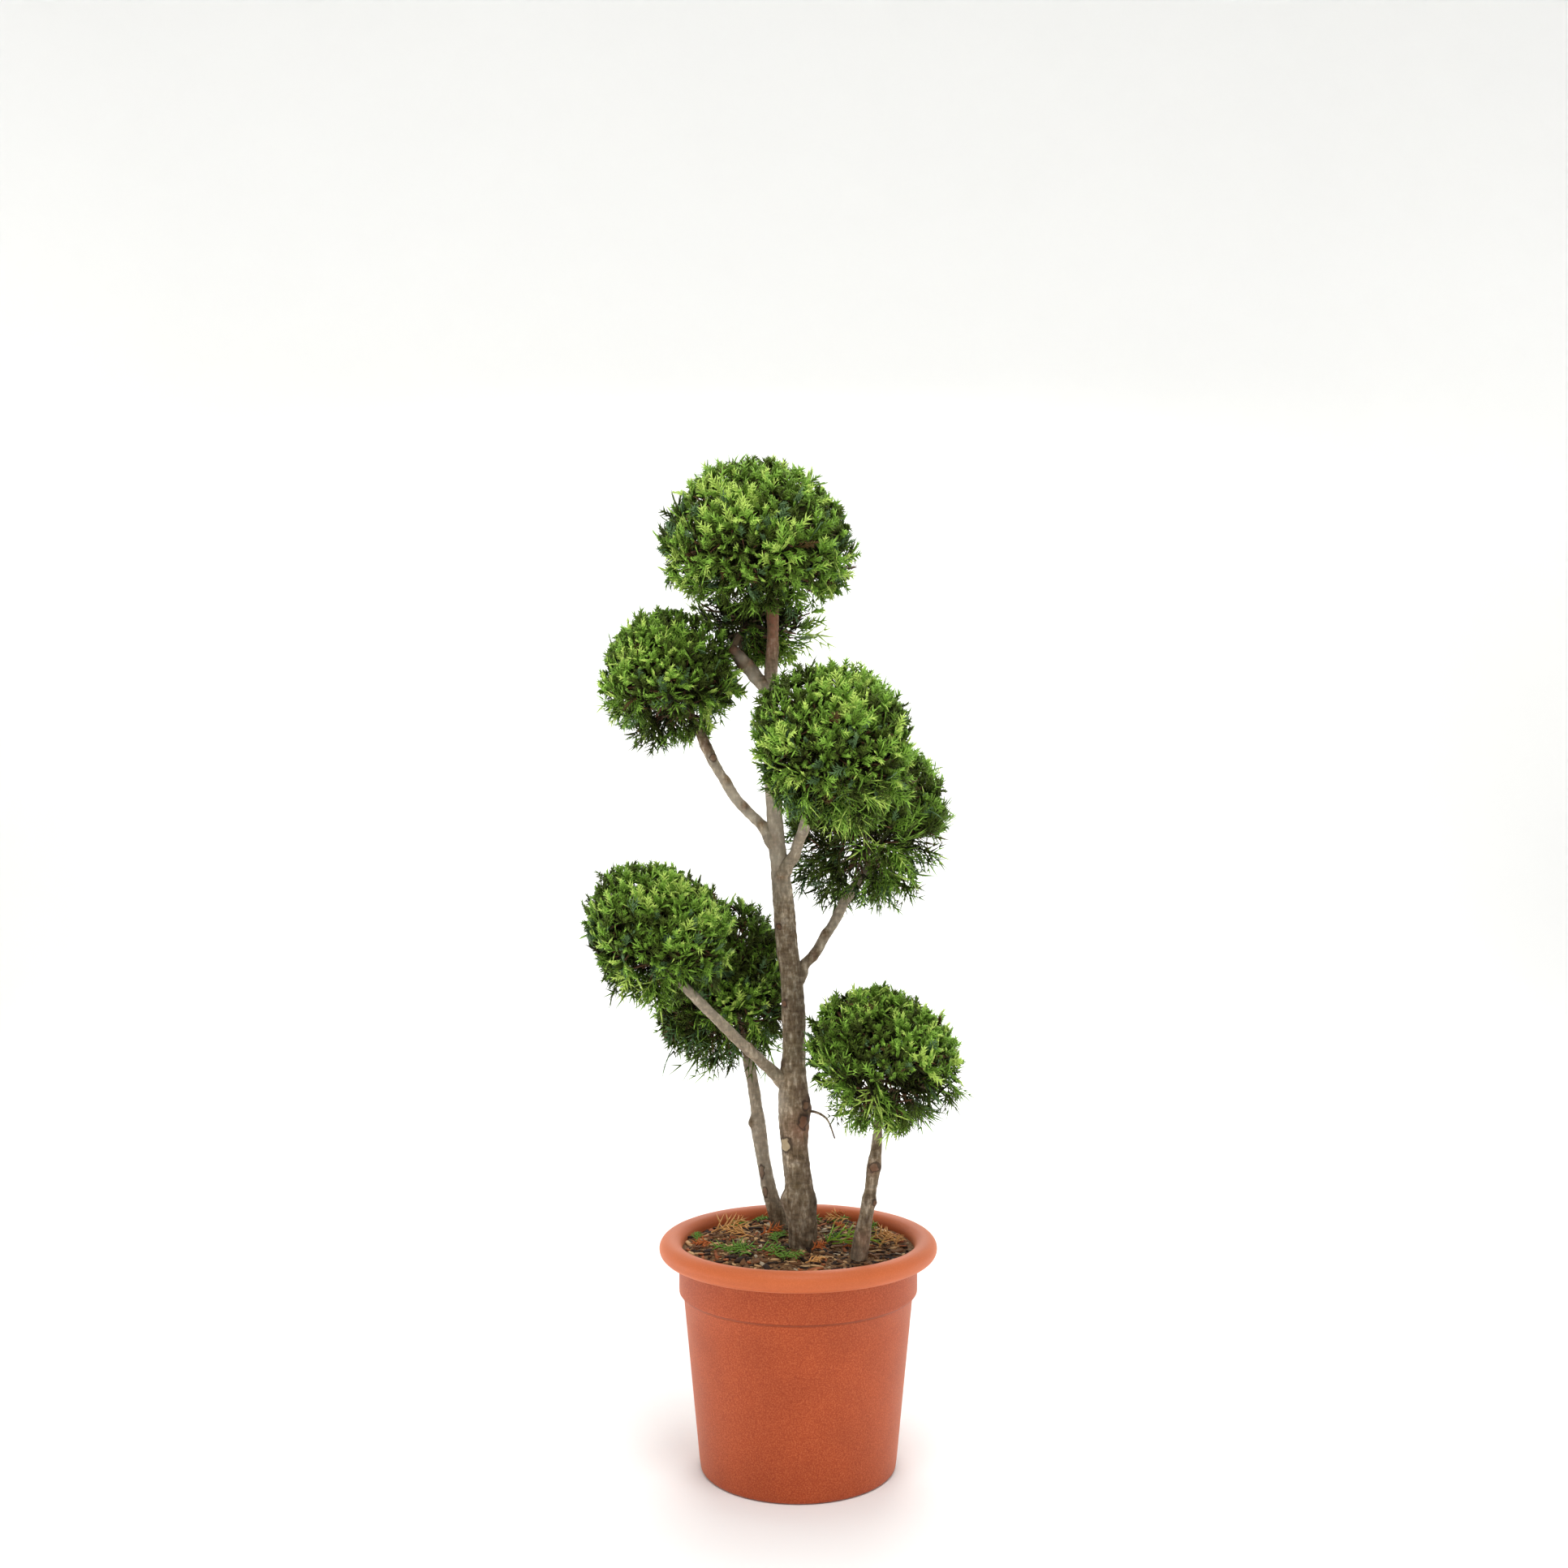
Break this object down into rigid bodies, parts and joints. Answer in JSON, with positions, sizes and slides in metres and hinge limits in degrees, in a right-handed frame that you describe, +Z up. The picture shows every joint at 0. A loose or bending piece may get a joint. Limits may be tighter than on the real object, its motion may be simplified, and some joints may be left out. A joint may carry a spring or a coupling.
{
  "type": "potted pompon cypress",
  "caption": "Evergreen cypress clipped into round pompons on bare, forking limbs, standing in a tapered round plastic pot with a rolled lip.",
  "frame": {"origin": "centre of the pot's flat underside", "axes": "+Z up the pot's axis, +X to the viewer's right and +Y away from the viewer of the picture"},
  "size_m": [0.4897, 0.3942, 1.2958],
  "materials": {
    "pot_plastic": "moulded, matt, finely grained",
    "potting_soil": "loose bark and peat",
    "bark": "smooth grey-brown bark",
    "foliage": "scale-leaf sprays"
  },
  "bodies": {
    "root": {"pot": "pot_plastic", "soil": "potting_soil", "trunk": "bark", "rear_stem": "bark", "front_stem": "bark", "lower_left_bough": "bark", "middle_right_bough": "bark", "middle_front_bough": "bark", "upper_left_bough": "bark", "top_fork_bough": "bark", "dead_twig": "bark", "top_foliage": "foliage", "under_top_foliage": "foliage", "upper_left_foliage": "foliage", "middle_front_foliage": "foliage", "middle_right_foliage": "foliage", "lower_left_foliage": "foliage", "lower_rear_foliage": "foliage", "lower_right_foliage": "foliage"}
  },
  "joints": []
}
